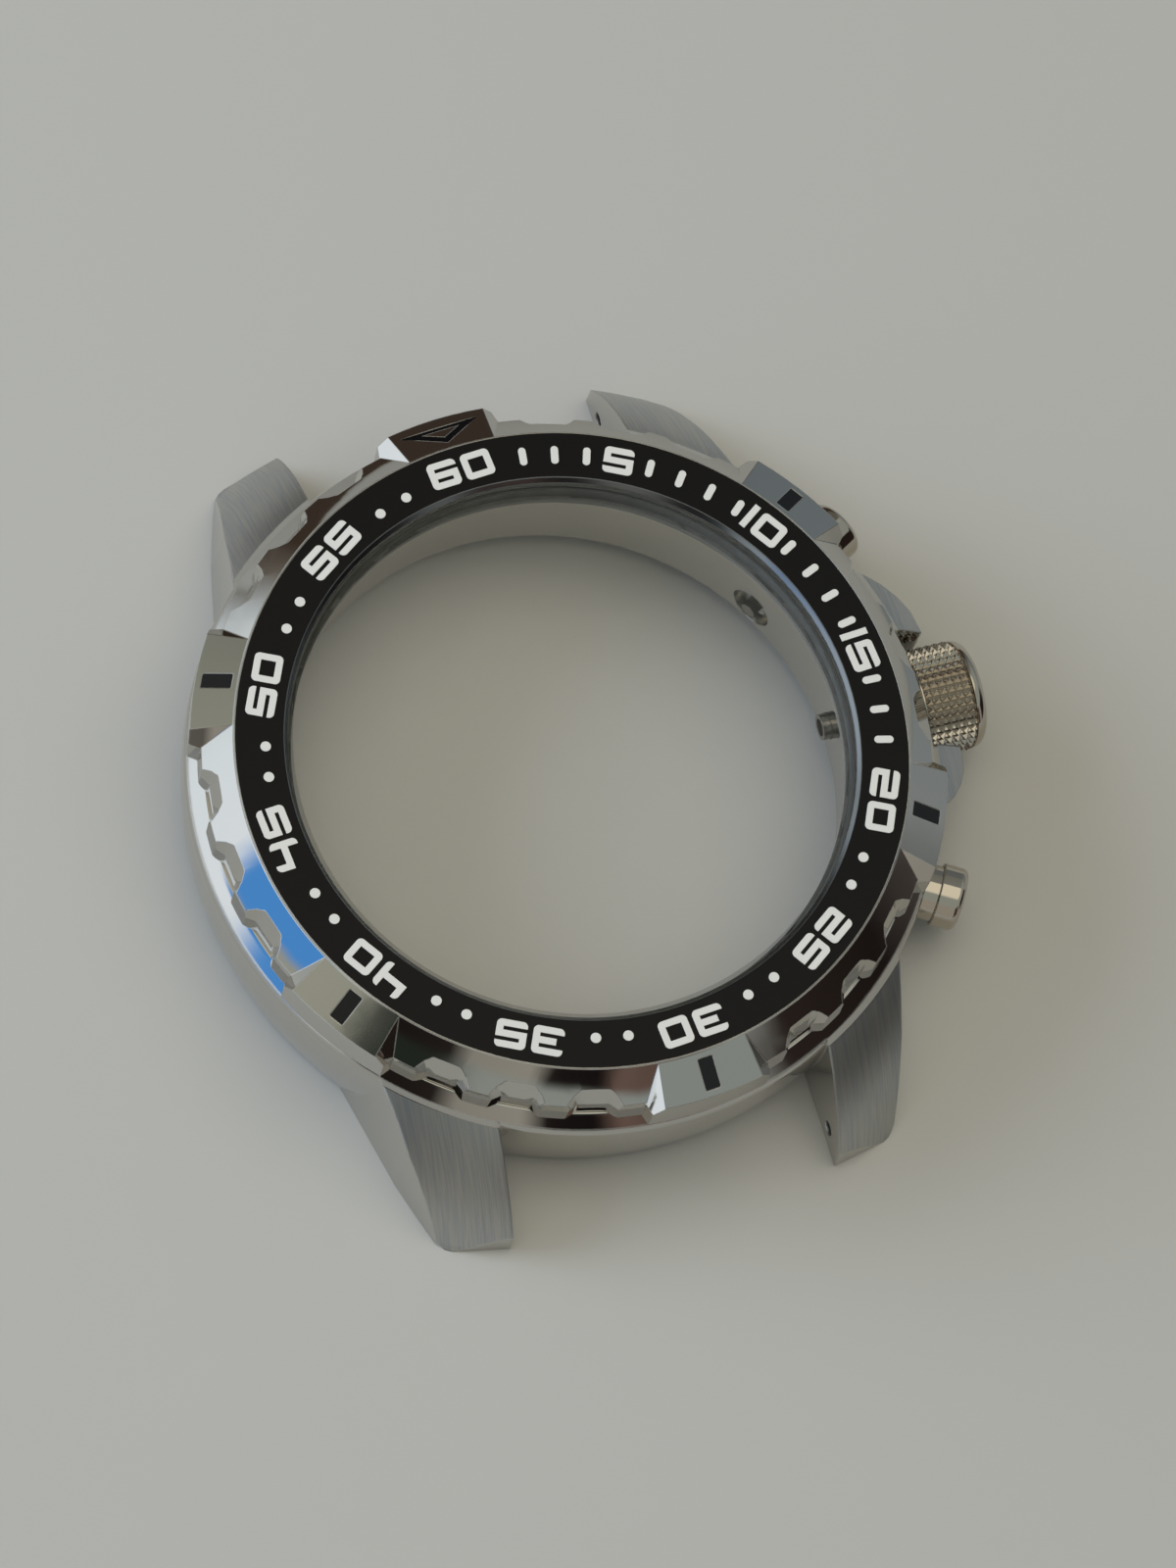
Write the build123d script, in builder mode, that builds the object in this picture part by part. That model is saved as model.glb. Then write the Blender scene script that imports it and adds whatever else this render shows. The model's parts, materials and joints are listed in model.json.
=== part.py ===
from build123d import *
from math import cos, radians, sin, tan
import os

# An empty chronograph watch case: mid-case with four lugs and two crown guards,
# flat crystal, turning minute bezel, crown and two pump pushers, open at the back.
# Millimetres. +Z is up through the crystal, +Y is 12 o'clock, +X is the crown at
# 3 o'clock, and the lug tips stand on Z = 0.

# Driving dimensions
strap_gap = 20.1
case_height = 11.2
bezel_radius = 22.3
bezel_turned = 5.0
window_radius = 16.68
movement_radius = 17.1
back_radius = 18.9
crown_radius = 3.37
crown_travel = 1.0
pusher_radius = 1.92
pusher_travel = 0.8
upper_pusher_angle = 29.6
lower_pusher_angle = -30.4
running_gap = 0.05
overall = 60.0

# Heights above the lug tips
insert_floor_z = case_height - 0.5
block_top_z = case_height - 0.1
bezel_low_z = case_height - 3.9
ledge_z = bezel_low_z - running_gap
crease_z = case_height - 4.05
axis_z = 3.7
back_z = 0.0
step_z = 2.1
roof_z = 7.85
seat_z = 8.75
neck_top_z = 10.2

# Radii of the turned faces
crease_radius = 22.2
side_radius = 22.45
neck_radius = 17.55
neck_bore = 16.85
seat_radius = 16.35
insert_inner = 16.96
insert_outer = 19.75
rim_outer = 19.87
tooth_radius = 21.55

os.makedirs("parts", exist_ok=True)


def spoke(angle, distance=0.0, height=axis_z):
    """A plane square to the radius at this angle, with its normal outwards."""
    out = Vector(cos(radians(angle)), sin(radians(angle)), 0)
    origin = Vector(0, 0, height) + out * distance
    return Plane(origin=origin, x_dir=(-out.Y, out.X, 0), z_dir=out)


def turned(points, mode=Mode.ADD):
    """Revolve a closed outline of (radius, height) points about the case axis."""
    with BuildSketch(Plane.XZ) as outline:
        with BuildLine():
            Polyline(*points, close=True)
        make_face()
    revolve(outline.sketch, axis=Axis.Z, mode=mode)


def spoke_axis(angle):
    """The axis of the crown (0 degrees) or of a pusher, pointing outwards."""
    return Axis((0, 0, axis_z), (cos(radians(angle)), sin(radians(angle)), 0))


def spun(angle, points, mode=Mode.ADD):
    """Revolve a closed outline of (distance, radius) points about a spoke axis."""
    out = spoke_axis(angle).direction
    side = Plane(origin=(0, 0, axis_z), x_dir=out, z_dir=out.cross(Vector(0, 0, 1)))
    with BuildSketch(side) as outline:
        with BuildLine():
            Polyline(*points, close=True)
        make_face()
    revolve(outline.sketch, axis=spoke_axis(angle), mode=mode)


# Mid-case: the lug and guard tops are one turned surface, curved down to the tips
lug_top_start = (crease_radius, crease_z)
lug_top_middle = (25.2, 4.65)
lug_top_end = (27.95, 0.4)
lug_tip_radius = 28.2
lug_root_radius = 20.0
lug_draft = 5.0
lug_outline = [
    (12.0, 12.0),
    (17.3, 12.3),
    (16.5, 15.8),
    (15.55, 20.0),
    (15.0, 21.8),
    (14.5, 23.3),
    (14.2, 24.1),
    (13.64, 24.77),
    (8.5, 25.83),
    (8.5, 17.0),
]
guard_face = 3.77
guard_low_z = 1.6
guard_outline = [
    (18.0, guard_face),
    (24.0, guard_face),
    (23.75, 5.3),
    (23.2, 6.2),
    (22.3, 7.1),
    (20.6, 8.15),
    (18.0, 9.4),
]
recess_face = 22.3
ledge_radius = 21.4
side_arc = [(22.41, 6.55), (side_radius, 5.4), (21.75, back_z)]
side_edge = [(22.32, 6.95), (22.39, 6.78)]

spring_bar_y = 23.5
spring_bar_z = 1.3
spring_bar_radius = 0.5
spring_bar_depth = 1.2

wire_z = 8.3
wire_groove = (17.32, 17.88)
wire_groove_height = 0.5
wire_centre = 17.6
wire_radius = 0.22

crown_tube_inner = 0.8
crown_tube_outer = 1.25
crown_tube_step = 19.1

pusher_bore = 1.35
clip_bore = 1.4
clip_bore_end = 17.9
collar_seat = 22.1
cavity_inside = 15.0
collar_radius = 1.7

click_radius = 19.5
click_ball_radius = 0.45
click_hole_low_z = 4.6
click_first_angle = 90
click_count = 2

with BuildPart() as mid_case:
    with BuildSketch(Plane.XY):
        Polygon(*lug_outline, align=None)
    extrude(amount=crease_z, taper=lug_draft)
    mirror(about=Plane.XZ)
    mirror(about=Plane.YZ)
    Box(strap_gap, 2 * overall, 2 * overall, mode=Mode.SUBTRACT)
    for side in (1, -1):
        with BuildSketch(Plane.XY.offset(guard_low_z)):
            Polygon(*[(x, side * y) for x, y in guard_outline], align=None)
        extrude(amount=crease_z - guard_low_z)
    with BuildSketch(Plane.XZ):
        with BuildLine():
            top = ThreePointArc(lug_top_start, lug_top_middle, lug_top_end)
            Polyline(
                top @ 1,
                (lug_tip_radius, back_z),
                (lug_root_radius, back_z),
                (lug_root_radius, crease_z),
                top @ 0,
            )
        make_face()
    revolve(axis=Axis.Z, mode=Mode.INTERSECT)
    with BuildSketch(Plane.XZ):
        with BuildLine():
            side = ThreePointArc(*side_arc)
            edge = Line((crease_radius, crease_z), side_edge[0])
            ThreePointArc(edge @ 1, side_edge[1], side @ 0)
            Polyline(
                side @ 1,
                (back_radius, back_z),
                (back_radius, step_z),
                (movement_radius, step_z),
                (movement_radius, roof_z),
                (seat_radius, roof_z + movement_radius - seat_radius),
                (seat_radius, seat_z),
                (neck_bore, seat_z),
                (neck_bore, neck_top_z),
                (neck_radius, neck_top_z),
                (neck_radius, wire_z + wire_groove_height / 2),
                (wire_groove[0], wire_z + wire_groove_height / 2),
                (wire_groove[0], wire_z - wire_groove_height / 2),
                (neck_radius, wire_z - wire_groove_height / 2),
                (neck_radius, ledge_z),
                (ledge_radius, ledge_z),
                edge @ 0,
            )
        make_face()
    revolve(axis=Axis.Z)
    with BuildSketch(Plane.YZ.offset(recess_face)):
        Rectangle(2 * guard_face, overall)
    extrude(amount=overall, mode=Mode.SUBTRACT)
    with BuildSketch(spoke(0, cavity_inside)):
        Circle(crown_tube_inner + running_gap)
    extrude(amount=crown_tube_step - cavity_inside, mode=Mode.SUBTRACT)
    with BuildSketch(spoke(0, crown_tube_step)):
        Circle(crown_tube_outer)
    extrude(amount=overall, mode=Mode.SUBTRACT)
    for angle in (upper_pusher_angle, lower_pusher_angle):
        with BuildSketch(spoke(angle, cavity_inside)):
            Circle(clip_bore)
        extrude(amount=clip_bore_end - cavity_inside, mode=Mode.SUBTRACT)
        with BuildSketch(spoke(angle, clip_bore_end)):
            Circle(pusher_bore)
        extrude(amount=collar_seat - clip_bore_end, mode=Mode.SUBTRACT)
        with BuildSketch(spoke(angle, collar_seat)):
            Circle(collar_radius + running_gap)
        extrude(amount=overall, mode=Mode.SUBTRACT)
    with BuildSketch(Plane.XY.offset(click_hole_low_z)):
        with PolarLocations(click_radius, click_count, start_angle=click_first_angle):
            Circle(click_ball_radius + running_gap)
    extrude(amount=ledge_z - click_hole_low_z, mode=Mode.SUBTRACT)
    for face_x, way in ((strap_gap / 2, 1), (-strap_gap / 2, -1)):
        with BuildSketch(Plane.YZ.offset(face_x)):
            with Locations((spring_bar_y, spring_bar_z), (-spring_bar_y, spring_bar_z)):
                Circle(spring_bar_radius)
        extrude(amount=way * spring_bar_depth, mode=Mode.SUBTRACT)
mid_case.part.label = "mid_case"
export_step(mid_case.part, "parts/mid_case.step")

# Crystal: flat glass with a polished bevel, held in the neck by an L-shaped gasket
crystal_radius = 16.6
crystal_top_z = 10.6
crystal_low_z = 9.15
crystal_bevel = 0.25
gasket_top_z = 10.1

with BuildPart() as crystal:
    with BuildSketch(Plane.XY.offset(crystal_low_z)):
        Circle(crystal_radius)
    extrude(amount=crystal_top_z - crystal_low_z)
    chamfer(crystal.faces().sort_by(Axis.Z)[-1].edges(), crystal_bevel)
crystal.part.label = "crystal"
export_step(crystal.part, "parts/crystal.step")

with BuildPart() as crystal_gasket:
    turned(
        [
            (seat_radius, seat_z),
            (neck_bore, seat_z),
            (neck_bore, gasket_top_z),
            (crystal_radius, gasket_top_z),
            (crystal_radius, crystal_low_z),
            (seat_radius, crystal_low_z),
        ],
    )
crystal_gasket.part.label = "crystal_gasket"
export_step(crystal_gasket.part, "parts/crystal_gasket.step")

# Bezel ring: a concave cone band with six raised blocks and three finger notches
# between each pair, on a bore that turns round the neck of the mid-case
block_count = 6
notches_between = 3
notch_pitch = 12.0
block_slope_drop = 1.13
block_flank_angle = 37.0
block_base_z = case_height - 2.0
block_rise = 2.2
notch_top_z = case_height - 0.5
notch_step_z = case_height - 2.5
notch_draft = 16.0
tooth_top_z = case_height - 1.9
notch_mouth = [(20.58, 1.06), (21.36, 2.2), (22.4, 2.25)]
notch_root = [(21.15, 0.87), (21.66, 1.62), (22.4, 1.65)]
notch_corner = 0.3
notch_end_radius = 21.25
block_foot = [(17.0, 4.75), (25.5, 2.9)]
bezel_bore = neck_radius + running_gap
lip_low_z = 10.3
block_angles = [90 + bezel_turned - 360 / block_count * k for k in range(block_count)]
slope_angle = 24.85
enamel_depth = 0.25
enamel_size = (0.9, 1.9)
enamel_corner = 0.08
enamel_centre = 21.05
slant = 1 / cos(radians(slope_angle))
triangle_outer = [(0, 20.3 * slant), (2.4, 21.6 * slant), (-2.4, 21.6 * slant)]
triangle_inner = [(0, 20.75 * slant), (1.2, 21.36 * slant), (-1.2, 21.36 * slant)]
gasket_recess_radius = 18.4
gasket_recess_height = 0.6
click_dimples = 60
click_dimple_depth = 0.2
click_dimple_size = (1.4, 1.1)


def mirrored(points):
    """Close an outline that is symmetric about its local X axis."""
    return [(x, -y) for x, y in points] + points[::-1]


def slope_plane(angle, radius):
    """The sloping top face of a block, as a plane with its Y axis pointing outwards."""
    out = Vector(cos(radians(angle)), sin(radians(angle)), 0)
    drop = (radius - rim_outer) * tan(radians(slope_angle))
    origin = out * radius + Vector(0, 0, block_top_z - drop)
    normal = out * sin(radians(slope_angle)) + Vector(0, 0, cos(radians(slope_angle)))
    return Plane(origin=origin, x_dir=(out.Y, -out.X, 0), z_dir=normal)


def at_notch_end(vertex):
    """Whether a notch outline's vertex is one of its two innermost corners."""
    return Vector(vertex.X, vertex.Y, 0).length < notch_end_radius


with BuildPart() as bezel_ring:
    with BuildSketch(Plane.XY.offset(block_base_z)) as block_feet:
        for angle in block_angles:
            with Locations(Location((0, 0), angle)):
                Polygon(*mirrored(block_foot), align=None)
    extrude(block_feet.sketch, amount=block_rise, taper=block_flank_angle)
    extrude(amount=bezel_low_z - block_base_z)
    with BuildSketch(Plane.XZ):
        with BuildLine():
            Polyline(
                (rim_outer, bezel_low_z),
                (bezel_radius - 0.15, bezel_low_z),
                (bezel_radius, bezel_low_z + 0.15),
                (bezel_radius, block_top_z - block_slope_drop),
                (rim_outer, block_top_z),
                close=True,
            )
        make_face()
    revolve(axis=Axis.Z, mode=Mode.INTERSECT)
    with BuildSketch(Plane.XZ):
        with BuildLine():
            Polyline(
                (rim_outer, block_top_z),
                (tooth_radius, tooth_top_z),
                (tooth_radius + 0.1, bezel_low_z + 0.12),
                (tooth_radius - 0.02, bezel_low_z),
                (gasket_recess_radius, bezel_low_z),
                (gasket_recess_radius, bezel_low_z + gasket_recess_height),
                (bezel_bore, bezel_low_z + gasket_recess_height),
                (bezel_bore, wire_z - wire_groove_height / 2),
                (wire_groove[1], wire_z - wire_groove_height / 2),
                (wire_groove[1], wire_z + wire_groove_height / 2),
                (bezel_bore, wire_z + wire_groove_height / 2),
                (bezel_bore, lip_low_z),
                (window_radius, lip_low_z),
                (window_radius, case_height - 0.28),
                (insert_inner - 0.01, case_height),
                (insert_inner, insert_floor_z),
                (insert_outer, insert_floor_z),
                (insert_outer, case_height),
                (rim_outer - 0.05, case_height),
                close=True,
            )
        make_face()
    revolve(axis=Axis.Z)
    notch_angles = [
        block + 30 + notch_pitch * (k - (notches_between - 1) / 2)
        for block in block_angles
        for k in range(notches_between)
    ]
    with BuildSketch(Plane.XY.offset(notch_top_z)) as notch_mouths:
        for angle in notch_angles:
            with Locations(Location((0, 0), angle)):
                Polygon(*mirrored(notch_mouth), align=None)
        fillet(notch_mouths.vertices().filter_by(at_notch_end), notch_corner)
    extrude(amount=notch_step_z - notch_top_z, taper=notch_draft, mode=Mode.SUBTRACT)
    with BuildSketch(Plane.XY.offset(notch_step_z)) as notch_floors:
        for angle in notch_angles:
            with Locations(Location((0, 0), angle)):
                Polygon(*mirrored(notch_root), align=None)
        fillet(notch_floors.vertices().filter_by(at_notch_end), notch_corner)
    extrude(amount=bezel_low_z - notch_step_z, mode=Mode.SUBTRACT)
    with BuildSketch(*[slope_plane(angle, enamel_centre) for angle in block_angles[1:]]):
        RectangleRounded(*enamel_size, enamel_corner)
    extrude(amount=-enamel_depth, mode=Mode.SUBTRACT)
    with BuildSketch(slope_plane(block_angles[0], 0)):
        Polygon(*triangle_outer, align=None)
        Polygon(*triangle_inner, align=None, mode=Mode.SUBTRACT)
    extrude(amount=-enamel_depth, mode=Mode.SUBTRACT)
    with BuildSketch(Plane.XY.offset(bezel_low_z)):
        with PolarLocations(click_radius, click_dimples, start_angle=click_first_angle):
            Rectangle(*click_dimple_size)
    extrude(amount=click_dimple_depth, mode=Mode.SUBTRACT)
bezel_ring.part.label = "bezel_ring"
export_step(bezel_ring.part, "parts/bezel_ring.step")

# Bezel insert: flat black ring, with its white numerals and marks standing on it
mark_height = 0.05
stroke = 0.41
digit_width = 1.8
digit_height = 1.69
digit_gap = 0.33
digit_corner = 0.3
numeral_radius = 18.3
bar_radius = 18.31
bar_size = (1.15, 0.45)
dot_radius = 18.0
dot_size = 0.61
bar_minutes = [2, 3, 4, 6, 7, 8, 9, 11, 12, 13, 14, 16, 17, 18]
dot_minutes = [minute + step for minute in range(22, 58, 5) for step in (0, 1)]

with BuildPart() as bezel_insert:
    with BuildSketch(Plane.XY.offset(insert_floor_z)):
        Circle(insert_outer)
        Circle(insert_inner, mode=Mode.SUBTRACT)
    extrude(amount=case_height - insert_floor_z)
bezel_insert.part.label = "bezel_insert"
export_step(bezel_insert.part, "parts/bezel_insert.step")


def minute_place(minute, radius):
    """Where a minute stands on the insert, with local Y pointing outwards."""
    angle = 90 + bezel_turned - 6 * minute
    return Location((radius * cos(radians(angle)), radius * sin(radians(angle))), angle - 90)


def digit_strokes(digit):
    """Centre lines of one squared digit, each a list of corner points."""
    x = (digit_width - stroke) / 2
    y = (digit_height - stroke) / 2
    return {
        "0": [[(x, y), (x, -y), (-x, -y), (-x, y), (x, y)]],
        "1": [[(0, y), (0, -y)]],
        "2": [[(-x, y), (x, y), (x, 0), (-x, 0), (-x, -y), (x, -y)]],
        "3": [[(-x, y), (x, y), (x, -y), (-x, -y)], [(-0.4 * x, 0), (x, 0)]],
        "4": [[(-x, y), (-x, 0), (x, 0)], [(x, y), (x, -y)]],
        "5": [[(x, y), (-x, y), (-x, 0), (x, 0), (x, -y), (-x, -y)]],
        "6": [[(x, y), (-x, y), (-x, -y), (x, -y), (x, 0), (-x, 0)]],
    }[digit]


def at_corner(vertex):
    """Whether a digit's vertex is one of the corners of its cell."""
    return abs(abs(vertex.X) - digit_width / 2) < 0.01 and abs(abs(vertex.Y) - digit_height / 2) < 0.01


def digit_starts(text):
    """The middle of each digit, with the whole number centred on zero."""
    widths = [stroke if digit == "1" else digit_width for digit in text]
    left = -(sum(widths) + digit_gap * (len(text) - 1)) / 2
    middles = []
    for width in widths:
        middles.append(left + width / 2)
        left += width + digit_gap
    return middles


with BuildPart() as bezel_numerals:
    for minute in range(5, 61, 5):
        text = str(minute)
        for digit, middle in zip(text, digit_starts(text)):
            spot = minute_place(minute, numeral_radius) * Location((middle, 0))
            with BuildSketch(Plane.XY.offset(case_height) * spot) as glyph:
                for points in digit_strokes(digit):
                    for (x0, y0), (x1, y1) in zip(points, points[1:]):
                        with Locations(((x0 + x1) / 2, (y0 + y1) / 2)):
                            Rectangle(abs(x1 - x0) + stroke, abs(y1 - y0) + stroke)
                if digit != "1":
                    fillet(glyph.vertices().filter_by(at_corner), digit_corner)
            extrude(amount=mark_height, clean=False)
bezel_numerals.part.label = "bezel_numerals"
export_step(bezel_numerals.part, "parts/bezel_numerals.step")

with BuildPart() as bezel_minute_marks:
    with BuildSketch(Plane.XY.offset(case_height)):
        with Locations(*[minute_place(minute, bar_radius) for minute in bar_minutes]):
            SlotOverall(*bar_size, rotation=90)
        with Locations(*[minute_place(minute, dot_radius) for minute in dot_minutes]):
            Circle(dot_size / 2)
    extrude(amount=mark_height)
bezel_minute_marks.part.label = "bezel_minute_marks"
export_step(bezel_minute_marks.part, "parts/bezel_minute_marks.step")

# Bezel enamel: black fills in the recesses of the six blocks
enamel_thickness = 0.22

with BuildPart() as bezel_enamel:
    enamel_floors = [slope_plane(angle, enamel_centre).offset(-enamel_depth) for angle in block_angles[1:]]
    with BuildSketch(*enamel_floors):
        RectangleRounded(*enamel_size, enamel_corner)
    extrude(amount=enamel_thickness)
    with BuildSketch(slope_plane(block_angles[0], 0).offset(-enamel_depth)):
        Polygon(*triangle_outer, align=None)
        Polygon(*triangle_inner, align=None, mode=Mode.SUBTRACT)
    extrude(amount=enamel_thickness)
bezel_enamel.part.label = "bezel_enamel"
export_step(bezel_enamel.part, "parts/bezel_enamel.step")

# Between bezel and case: gasket, open retaining wire, and the click balls on springs
with BuildPart() as bezel_gasket:
    turned(
        [
            (neck_radius + 0.02, ledge_z),
            (gasket_recess_radius - 0.05, ledge_z),
            (gasket_recess_radius - 0.05, bezel_low_z + gasket_recess_height - running_gap),
            (neck_radius + 0.02, bezel_low_z + gasket_recess_height - running_gap),
        ]
    )
bezel_gasket.part.label = "bezel_gasket"
export_step(bezel_gasket.part, "parts/bezel_gasket.step")

with BuildPart() as bezel_retaining_wire:
    with BuildSketch(Plane.XZ):
        with Locations((wire_centre, wire_z)):
            Circle(wire_radius)
    revolve(axis=Axis.Z, revolution_arc=352)
bezel_retaining_wire.part.label = "bezel_retaining_wire"
export_step(bezel_retaining_wire.part, "parts/bezel_retaining_wire.step")

click_ball_z = bezel_low_z + click_dimple_depth - running_gap - click_ball_radius
click_wire_radius = 0.06
click_coil_radius = 0.36
click_spring_low_z = click_hole_low_z + click_wire_radius
click_spring_high_z = click_ball_z - click_ball_radius

with BuildPart() as click_balls:
    with Locations((0, click_radius, click_ball_z), (0, -click_radius, click_ball_z)):
        Sphere(click_ball_radius)
click_balls.part.label = "click_balls"
export_step(click_balls.part, "parts/click_balls.step")

with BuildPart() as click_springs:
    with BuildLine(Plane((0, click_radius, click_spring_low_z))) as coil:
        Helix(pitch=0.4, height=click_spring_high_z - click_spring_low_z, radius=click_coil_radius)
    with BuildSketch(Plane(origin=coil.line @ 0, z_dir=coil.line % 0)):
        Circle(click_wire_radius)
    sweep(path=coil.line)
    mirror(about=Plane.XZ)
click_springs.part.label = "click_springs"
export_step(click_springs.part, "parts/click_springs.step")

# Crown: domed and fluted, on a stem that runs in a tube pressed into the case
seal_gap = 0.03
crown_gasket_start = 22.75
crown_gasket_length = 0.6
crown_washer_thickness = 0.15
crown_tube_start = 16.6
crown_tube_end = crown_gasket_start + crown_gasket_length + crown_travel + 0.15
crown_mouth = 22.4
crown_washer_start = crown_mouth + 0.03
crown_knurl_end = 25.54
crown_face = (26.2, 2.95)
crown_end = 26.55
crown_cavity_radius = 2.3
crown_cavity_end = crown_tube_end + running_gap + 0.1
crown_flutes = 40
flute_depth = 0.22
flute_half_width = 0.24
stem_radius = 0.5
crown_stem_inner = 17.2
stem_socket = 0.3
stem_bore = 0.55

with BuildPart() as crown:
    with BuildSketch(Plane.XZ):
        with BuildLine():
            dome = TangentArc(
                (crown_end, axis_z), (crown_face[0], axis_z + crown_face[1]), tangent=(0, 1)
            )
            edge = ThreePointArc(
                dome @ 1,
                (crown_face[0] - 0.22, axis_z + crown_radius - 0.17),
                (crown_knurl_end + 0.08, axis_z + crown_radius - 0.05),
            )
            Polyline(
                edge @ 1,
                (crown_knurl_end, axis_z + crown_radius),
                (crown_mouth + 0.2, axis_z + crown_radius),
                (crown_mouth, axis_z + crown_radius - 0.2),
                (crown_mouth, axis_z + crown_cavity_radius),
                (crown_cavity_end, axis_z + crown_cavity_radius),
                (crown_cavity_end, axis_z + stem_radius),
                (crown_cavity_end + stem_socket, axis_z + stem_radius),
                (crown_cavity_end + stem_socket, axis_z),
                dome @ 0,
            )
        make_face()
    revolve(axis=spoke_axis(0))
    with BuildSketch(spoke(0, crown_mouth + 0.1)):
        with PolarLocations(crown_radius, crown_flutes):
            Polygon((0.1, flute_half_width), (-flute_depth, 0), (0.1, -flute_half_width), align=None)
    extrude(amount=crown_knurl_end - crown_mouth - 0.15, mode=Mode.SUBTRACT)
crown.part.label = "crown"
export_step(crown.part, "parts/crown.step")

with BuildPart() as crown_stem:
    with BuildSketch(spoke(0, crown_stem_inner)):
        Circle(stem_radius)
    extrude(amount=crown_cavity_end + stem_socket - crown_stem_inner)
crown_stem.part.label = "crown_stem"
export_step(crown_stem.part, "parts/crown_stem.step")

with BuildPart() as crown_tube:
    spun(
        0,
        [
            (crown_tube_start, stem_bore),
            (crown_tube_start, crown_tube_inner),
            (crown_tube_step, crown_tube_inner),
            (crown_tube_step, crown_tube_outer),
            (crown_tube_end - 0.15, crown_tube_outer),
            (crown_tube_end, crown_tube_outer - 0.15),
            (crown_tube_end, stem_bore),
        ],
    )
crown_tube.part.label = "crown_tube"
export_step(crown_tube.part, "parts/crown_tube.step")

with BuildPart() as crown_gasket:
    with BuildSketch(spoke(0, crown_gasket_start)):
        Circle(crown_cavity_radius - seal_gap)
        Circle(crown_tube_outer + seal_gap, mode=Mode.SUBTRACT)
    extrude(amount=crown_gasket_length)
crown_gasket.part.label = "crown_gasket"
export_step(crown_gasket.part, "parts/crown_gasket.step")

with BuildPart() as crown_washer:
    with BuildSketch(spoke(0, crown_washer_start)):
        Circle(crown_cavity_radius - seal_gap)
        Circle(crown_tube_outer + seal_gap, mode=Mode.SUBTRACT)
    extrude(amount=crown_washer_thickness)
crown_washer.part.label = "crown_washer"
export_step(crown_washer.part, "parts/crown_washer.step")

# Pushers: two alike, above and below the crown, each a mushroom head on a stem that
# slides in a collared tube against a return spring and is held by a clip inside
barrel_floor = 21.2
collar_end = 23.55
tube_cavity_radius = 1.12
head_start = 23.4
head_end = 24.95
head_bore = collar_radius + 0.04
head_floor = collar_end + pusher_travel + running_gap
head_edge = 0.42
pusher_stem_inner = 16.8
ring_section = 0.28
ring_places = (21.5, 22.1)
ring_centre = 0.815
washer_start = 22.42
washer_thickness = 0.15
spring_wire = 0.08
spring_radius = 0.9
spring_turns = 4
clip_start = 17.56
clip_thickness = 0.22
clip_radius = 0.95
clip_groove_radius = 0.33

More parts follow.
